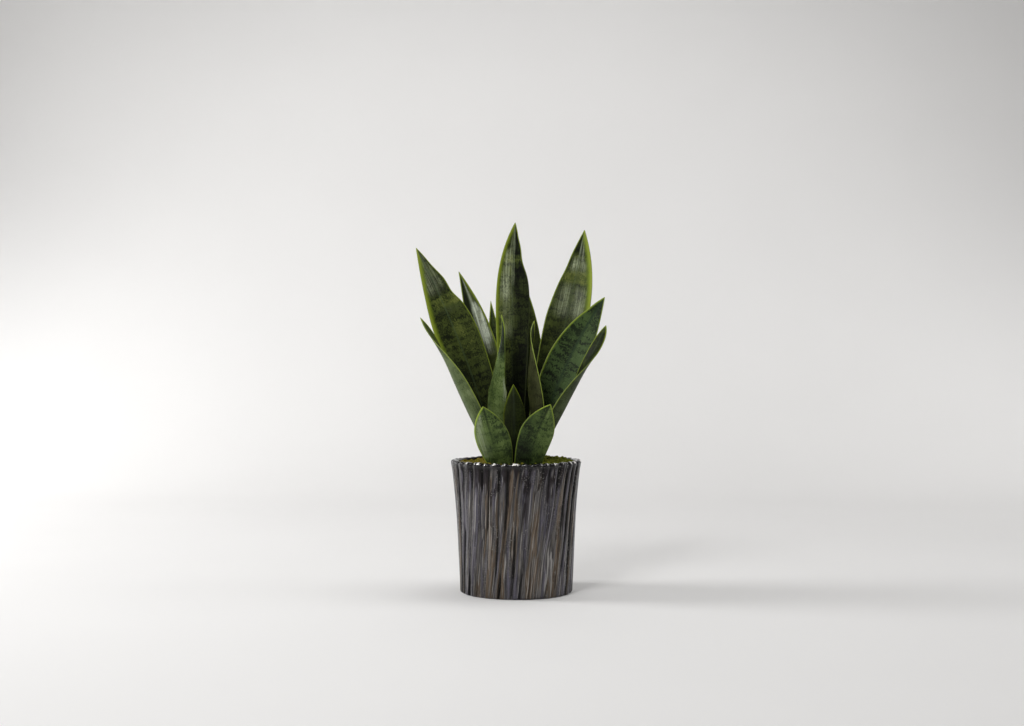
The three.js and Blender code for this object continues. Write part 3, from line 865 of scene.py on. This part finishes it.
@dataclass
class RidgedPot:
    """Slightly flared stoneware pot, pinched into vertical folds all round.

    Taper widens the wall evenly and flare near the top. Grooves slant and wander by degrees, and
    jitter is a share of their spacing. Folds rise and sink within the crown of the lip.
    """

    height: float = 184.0
    foot_radius: float = 77.5
    taper: float = 7.5
    flare: float = 5.0
    wall: float = 7.0
    floor: float = 8.0
    lip: float = 3.5
    ridges: int = 38
    depth: float = 3.2
    slant: float = 12.0
    wander: float = 1.0
    jitter: float = 0.7
    swell: float = 2.0
    crown: float = 8.0
    steps: int = 720

    def out_of_round(self, angle: Array) -> Array:
        """Returns how far the thrown outline departs from a circle."""
        return 0.7 * np.cos(2 * angle + 0.6) + 0.5 * np.cos(3 * angle + 2)

    def wall_radius(self, z: float) -> float:
        """Returns the mean outside radius of the wall at height z."""
        up = z / self.height
        return self.foot_radius + self.taper * up + self.flare * up ** 4

    def inner_radius(self, angle: Array, z: float) -> Array:
        """Returns the inside radius of the wall."""
        return self.wall_radius(z) + self.out_of_round(angle) - self.wall

    def profile(self) -> list[Point]:
        """Lists radius, height and share of the folds, from under the foot to the inside floor."""
        rows = [(0.0, 0.0, 0.0), (30.0, 0.0, 0.0), (60.0, 0.0, 0.1),
                (self.foot_radius - 5.0, 0.0, 0.3), (self.foot_radius - 3.4, 0.0, 0.5)]
        for i in range(1, 6):
            turn = math.radians(18 * i)
            rows.append((self.wall_radius(3) - 3.0 + 3.0 * math.sin(turn),
                         3.2 - 3.2 * math.cos(turn), 0.5 + 0.1 * i))
        rows += [(self.wall_radius(z), z, 1.0) for z in np.arange(6.0, 173.0, 3.0)]
        centre, top = self.wall_radius(self.height) - self.lip, self.height - self.lip
        for i in range(13):
            turn = math.radians(15 * i - 6)
            rows.append((centre + 3.6 * math.cos(turn) - 0.1, top + 3.7 * math.sin(turn),
                         mix(1.0, 0.4, smooth_step(5, 12, i))))
        rows += [(self.wall_radius(z) - self.wall, z, 0.25 * smooth_step(150.0, 176.0, z))
                 for z in (175.0, 171.0, 166.0, 160.0, 150.0, 120.0, 80.0, 40.0, 12.0)]
        rows += [(self.wall_radius(8) - self.wall - 3, self.floor, 0.0), (40.0, self.floor, 0.0),
                 (0.0, self.floor, 0.0)]
        return rows

    def groove(self, z: float) -> Array:
        """Returns the angle of every groove at height z, once round and the first again."""
        down = 1 - z / self.height
        angles = [math.radians(
            360 * (k + self.jitter * (draw(k) - 0.5)) / self.ridges
            - self.slant * down * (0.85 + 0.3 * draw(k + 100))
            - self.wander * math.sin(down * 5 + 6.3 * draw(k + 200))) for k in range(self.ridges)]
        return np.array(angles + [angles[0] + 2 * math.pi])

    def groove_depth(self, z: float) -> Array:
        """Returns the depth of every groove at height z: clear at the lip, often faded below."""
        low, part = divmod(z / 60, 1.0)
        part, at_lip = smooth_step(0.3, 0.7, part), min(1.0, max(0.0, (z - 140) / 40))
        depths = []
        for k in range(self.ridges):
            drawn = mix(draw(k + 300 + int(low)), draw(k + 301 + int(low)), part)
            below, above = 0.15 + 0.85 * drawn ** 1.5, 0.5 + 0.4 * draw(k + 600)
            depths.append(self.depth * mix(below, above, at_lip))
        return np.array(depths + depths[:1])

    def fold(self, angle: Array, z: float) -> tuple[Array, Array, Array]:
        """Finds the folds in the clay at height z.

        Args:
            angle: Angles round the pot.
            z: Height.

        Returns:
            How far the clay stands out, how deep in a crease it is (0 to 1), and the angle
            that the place would have if the folds ran straight up.
        """
        grooves, depths = self.groove(z), self.groove_depth(z)
        turned = (angle - grooves[0]) % (2 * math.pi) + grooves[0]
        k = np.clip(np.searchsorted(grooves, turned, side="right") - 1, 0, self.ridges - 1)
        part = (turned - grooves[k]) / (grooves[k + 1] - grooves[k])
        hill = np.sin(math.pi * np.clip(part, 0, 1)) ** 0.62
        near, far = (np.array([self.swell * (draw(i + first) - 0.5)
                               for i in range(self.ridges)])[k] for first in (400, 500))
        bulge = near + (far - near) * np.clip((part - 0.3) / 0.42, 0, 1)
        valley = -(depths[k] * (1 - part) + depths[k + 1] * part)
        straight = 2 * math.pi * (k + part) / self.ridges
        fine = 0.2 * np.sin(straight * 151 + 2.4 * np.sin(z / 23)) \
            + 0.16 * np.sin(straight * 89 + 1.7 * np.sin(z / 31 + 2))
        out = valley * (1 - hill) + (bulge + fine) * hill
        return out, (1 - hill) * -valley / self.depth, straight

    def build(self) -> Object:
        """Spins the wall's profile and presses the folds into it."""
        rows = self.profile()
        ends = {0, len(rows) - 1}
        bpy.ops.mesh.primitive_circle_add(vertices=len(rows), radius=1)
        piece = bpy.context.object
        piece.name = "ridged_pot"
        with editing(piece, "edges", lambda edge: set(edge.vertices) == ends):
            bpy.ops.mesh.delete(type="EDGE")
        write_points(piece.data, np.array([(r * MM, 0.0, z * MM) for r, z, _ in rows]))
        with editing(piece):
            bpy.ops.mesh.spin(
                steps=self.steps, angle=2 * math.pi, center=(0, 0, 0), axis=(0, 0, 1))
            bpy.ops.mesh.select_all(action="SELECT")
            bpy.ops.mesh.remove_doubles(threshold=0.00002)
            bpy.ops.mesh.normals_make_consistent(inside=False)
        self.press(piece.data, rows)
        piece.data.materials.append(LustreGlaze("lustre_glaze_on_stoneware").material())
        select_only(piece)
        bpy.ops.object.shade_smooth()
        return piece

    def press(self, mesh: Mesh, rows: list[Point]) -> None:
        """Moves the spun wall's points into folds, and notes creases and lip for the glaze.

        Args:
            mesh: The spun mesh.
            rows: The profile that was spun.
        """
        points = read_points(mesh) / MM
        angle = np.arctan2(points[:, 1], points[:, 0])
        radius = np.hypot(points[:, 0], points[:, 1])
        height = points[:, 2]
        table = np.array(rows)
        order = np.argmin((radius[:, None] - table[None, :, 0]) ** 2
                          + (height[:, None] - table[None, :, 1]) ** 2, axis=1)
        crease, straight = np.zeros(len(points)), np.zeros(len(points))
        moved = points.copy()
        for row, (mean, z, share) in enumerate(rows):
            at = np.nonzero(order == row)[0]
            out, depth, unwound = self.fold(angle[at], z)
            r = radius[at] + out * share + self.out_of_round(angle[at]) * min(1.0, mean / 60)
            moved[at, 0], moved[at, 1] = r * np.cos(angle[at]), r * np.sin(angle[at])
            rise = smooth_step(self.height - self.crown, self.height, z)
            moved[at, 2] += np.minimum(out, 0.9) * 0.7 * rise
            crease[at], straight[at] = depth * share, unwound
        write_points(mesh, moved * MM)

        # The lip is 0.8 on its outside and 1 on its crown, where near-white glints are painted.
        outside = np.clip((height - self.height + 9) / 7, 0, 0.8)
        inward = np.clip((radius - self.wall_radius(self.height) + self.lip) / 1.5 + 0.5, 0, 1)
        crown = inward * np.clip((height - self.height + 3.2) / 1.2, 0, 1)
        unwound = np.stack([self.foot_radius * np.cos(straight),
                            self.foot_radius * np.sin(straight), height], 1) * MM
        write_attributes(mesh, crease=crease, lip=outside + 0.2 * crown, unwound=unwound)


# ---- Moss and soil ----


@dataclass
class MossBed:
    """Bed of preserved moss on the soil: a lumpy sheet under a few thousand dry crumbs.

    It climbs by tilt for each millimetre to the right. Clump is the place, height and spread of
    its one thick clump.
    """

    pot: RidgedPot
    level: float = 179.0
    soil_top: float = 169.0
    tilt: float = 0.012
    clump: tuple[float, float, float, float] = (54.0, 26.0, 3.8, 21.0)
    gap: float = 0.35
    crumbs: int = 2300
    crumb_size: float = 2.3
    rings: int = 22
    spokes: int = 120
    seed: int = 7

    def top(self, x: Array, y: Array) -> Array:
        """Returns the height of the sheet at a place."""
        inside = self.pot.wall_radius(self.soil_top) - self.pot.wall
        dome = 1.5 * (1 - (x * x + y * y) / inside ** 2)
        waves = 0.6 * np.sin(x / 9) * np.cos(y / 8) + 0.5 * np.sin(x / 3.1 + y / 4.7) \
            + 0.4 * np.sin(y / 2.6 - x / 5.3)
        clump_x, clump_y, height, spread = self.clump
        clump = height * np.exp(-((x - clump_x) ** 2 + (y - clump_y) ** 2) / spread ** 2)
        return self.level + dome + clump + self.tilt * x + waves

    def sheet(self) -> Object:
        """Builds the sheet: a low drum, its top inset ring by ring and then lifted into lumps."""
        bottom = self.soil_top + self.gap
        inside = self.pot.wall_radius(self.soil_top) - self.pot.wall - self.gap
        depth = self.level - bottom
        bpy.ops.mesh.primitive_cylinder_add(
            vertices=self.spokes, radius=inside * MM, depth=depth * MM,
            location=(0, 0, (bottom + depth / 2) * MM), end_fill_type="NGON")
        piece = bpy.context.object
        bpy.ops.object.transform_apply(location=True)
        with editing(piece, "polygons", lambda face: face.normal.z > 0.9):
            for _ in range(self.rings):
                bpy.ops.mesh.inset(thickness=inside / (self.rings + 1) * MM)
        points = read_points(piece.data) / MM
        high = points[:, 2] > bottom + 1
        radius = np.hypot(points[:, 0], points[:, 1])
        angle = np.arctan2(points[:, 1], points[:, 0])
        room = self.pot.inner_radius(angle, self.soil_top) - self.gap
        fitted = radius * room / (inside + self.gap)
        points[:, 0], points[:, 1] = fitted * np.cos(angle), fitted * np.sin(angle)
        raised = self.top(points[:, 0], points[:, 1])
        rim = np.clip((radius[high] / inside - 0.94) / 0.06, 0, 1)
        points[high, 2] = raised[high] - 1.5 * rim
        write_points(piece.data, points * MM)
        return piece

    def crumb(self) -> tuple[Array, list[tuple[int, ...]]]:
        """Models one crumb, a cube rounded off to a lump, and returns its points and faces."""
        bpy.ops.mesh.primitive_cube_add(size=1)
        piece = bpy.context.object
        with editing(piece):
            bpy.ops.mesh.subdivide(number_cuts=1)
            bpy.ops.transform.tosphere(value=0.85)
        points = read_points(piece.data)
        faces = [tuple(f.vertices) for f in piece.data.polygons]
        bpy.data.objects.remove(piece)
        return points / np.abs(points).max(), faces

    def feet(self) -> Array:
        """Lists places on the leaves' feet and their half thickness; crumbs keep clear of them."""
        shares = np.linspace(-1, 1, 9)
        return np.array([(point.x, point.y, thick / 2) for leaf in LEAVES
                         for point, _, thick in leaf.section(0.0, shares)])

    def scatter(self) -> Object:
        """Strews the crumbs over the sheet, each turned, squashed and sized by seeded draws."""
        rng = np.random.default_rng(self.seed)
        lump, faces = self.crumb()
        feet = self.feet()
        points, polygons = [], []
        while len(points) < self.crumbs:
            angle = rng.uniform(0, 2 * math.pi)
            size = self.crumb_size * rng.uniform(0.45, 1.4)
            edge = float(self.pot.inner_radius(np.array([angle]), self.level)[0]) - size
            radius = edge * math.sqrt(rng.uniform())
            x, y = radius * math.cos(angle), radius * math.sin(angle)
            clear = np.hypot(feet[:, 0] - x, feet[:, 1] - y) - feet[:, 2]
            if clear.min() < size * 0.8:
                continue
            z = float(self.top(np.array([x]), np.array([y]))[0]) + size * rng.uniform(-0.2, 0.5)
            turn = np.linalg.qr(rng.normal(size=(3, 3)))[0]
            if np.linalg.det(turn) < 0:
                turn[:, 0] *= -1
            rough = lump * (1 + rng.uniform(-0.28, 0.28, size=(len(lump), 1)))
            shaped = (rough * rng.uniform((0.7, 0.6, 0.45), (1.15, 1.0, 0.8))) @ turn.T
            base = len(points) * len(lump)
            points.append(shaped * size + (x, y, z))
            polygons += [tuple(i + base for i in face) for face in faces]
        mesh = bpy.data.meshes.new("moss_crumbs")
        mesh.from_pydata((np.concatenate(points) * MM).tolist(), [], polygons)
        piece = bpy.data.objects.new("moss_crumbs", mesh)
        bpy.context.scene.collection.objects.link(piece)
        return piece

    def build(self) -> Object:
        """Joins sheet and crumbs into one bed and dresses it."""
        piece, crumbs = self.sheet(), self.scatter()
        select_only(piece)
        crumbs.select_set(True)
        bpy.ops.object.join()
        piece.name = "moss_bed"
        piece.data.materials.append(DriedMoss("preserved_sheet_moss").material())
        bpy.ops.object.shade_smooth()
        return piece


# ---- Studio ----


@dataclass(frozen=True)
class SoftBox:
    """One soft light: places and size in metres, power in watts, spread of its beam in degrees."""

    name: str
    place: Point
    aim: Point
    size: Pair
    power: float
    spread: float = 180.0

    def hang(self) -> None:
        """Adds the light to the scene."""
        data = bpy.data.lights.new(self.name, "AREA")
        data.shape, data.energy = "RECTANGLE", self.power
        data.size, data.size_y = self.size
        data.spread = math.radians(self.spread)
        light = bpy.data.objects.new(self.name, data)
        light.location = self.place
        beam = Vector(self.aim) - Vector(self.place)
        light.rotation_euler = beam.to_track_quat("-Z", "Y").to_euler()
        bpy.context.scene.collection.objects.link(light)


@dataclass
class Studio:
    """Pale sweep and soft light, most of it from the left.

    The focal length and the frame's width are in pixels, and the sweep's sizes in metres.
    """

    focal: float = 1375.0
    frame_width: float = 1024.0
    camera_place: Point = (-5.8, -1925.0, 319.0)
    sensor: float = 36.0
    sky: float = 0.21
    floor_size: float = 8.0
    floor_back: float = 2.4
    backdrop: float = 5.0
    bend: float = 1.2
    boxes: tuple[SoftBox, ...] = (
        SoftBox("key", (-2.2, 0.2, 1.1), (0, 0.1, 0.2), (0.8, 1.7), 41.0),
        SoftBox("top", (0.5, 0.3, 2.4), (0, 0.2, 0), (0.9, 0.9), 14.0),
        SoftBox("front", (-1.1, -1.9, 1.9), (0, 0, 0.3), (0.9, 0.9), 21.0),
        SoftBox("sparkle", (-0.7, -1.7, 2.2), (0, 0, 0.25), (0.22, 0.22), 4.5),
        SoftBox("left_wash", (-2.4, 1.0, 0.6), (0.2, 2.4, -0.2), (1.2, 0.9), 5.3, 80.0),
        SoftBox("right_wash", (2.4, 1.0, 0.5), (-0.3, 2.6, 0), (1.2, 0.9), 3.4, 80.0),
        SoftBox("right_fill", (2.2, 0.0, 0.9), (0, 0, 0.15), (0.9, 1.4), 8.5))

    def place_camera(self) -> None:
        """Sets up the level camera that looks along +Y."""
        data = bpy.data.cameras.new("camera")
        data.sensor_width = self.sensor
        data.lens = self.focal / self.frame_width * self.sensor
        data.clip_start, data.clip_end = 0.05, 50.0
        camera = bpy.data.objects.new("camera", data)
        camera.location = Vector(self.camera_place) * MM
        camera.rotation_euler = (math.pi / 2, 0, 0)
        bpy.context.scene.collection.objects.link(camera)
        bpy.context.scene.camera = camera

    def lay_sweep(self) -> None:
        """Lays the floor, which curves up into the backdrop."""
        bpy.ops.mesh.primitive_plane_add(
            size=self.floor_size, location=(0, self.floor_back - self.floor_size / 2, 0))
        sweep = bpy.context.object
        sweep.name = "sweep"
        bpy.ops.object.transform_apply(location=True)

        def at_bend(edge: MeshEdge) -> bool:
            """Tells whether the edge lies where the floor meets the backdrop."""
            ends = [sweep.data.vertices[i].co for i in edge.vertices]
            return all(end.y > self.floor_back - 0.01 and end.z < 0.01 for end in ends)

        with editing(sweep, "edges", at_bend):
            bpy.ops.mesh.extrude_region_move(
                TRANSFORM_OT_translate={"value": (0, 0, self.backdrop)})
        with editing(sweep, "edges", at_bend):
            bpy.ops.mesh.bevel(offset=self.bend, segments=24, affect="EDGES")
        bpy.ops.object.shade_smooth()
        sweep.data.materials.append(PaintedBoard("matt_paint_on_sweep").material())

    def set_up(self) -> None:
        """Builds the whole studio."""
        scene = bpy.context.scene
        scene.view_settings.view_transform = "Standard"
        world = bpy.data.worlds.new("studio")
        scene.world = world
        world.use_nodes = True
        sky = world.node_tree.nodes["Background"]
        sky.inputs["Color"].default_value = linear("#fbfaf8")
        sky.inputs["Strength"].default_value = self.sky
        self.place_camera()
        self.lay_sweep()
        for box in self.boxes:
            box.hang()
        LOG.info("studio set up")


def main() -> None:
    """Builds the studio and every piece of the plant, and logs the faces of each piece it builds.
    """
    logging.basicConfig(level=logging.INFO, format="%(name)s: %(message)s")
    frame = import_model()
    bpy.ops.object.select_all(action="DESELECT")
    Studio().set_up()
    pot = RidgedPot()
    hand_over(pot.build(), "pot")
    hand_over(MossBed(pot).build(), "moss")
    soil = frame["nodes"]["soil"]
    soil.data.materials.clear()
    soil.data.materials.append(PottingSoil("potting_compost").material())
    for order, leaf in enumerate(LEAVES):
        hand_over(leaf.build(order), leaf.name)


if __name__ == "__main__":
    main()
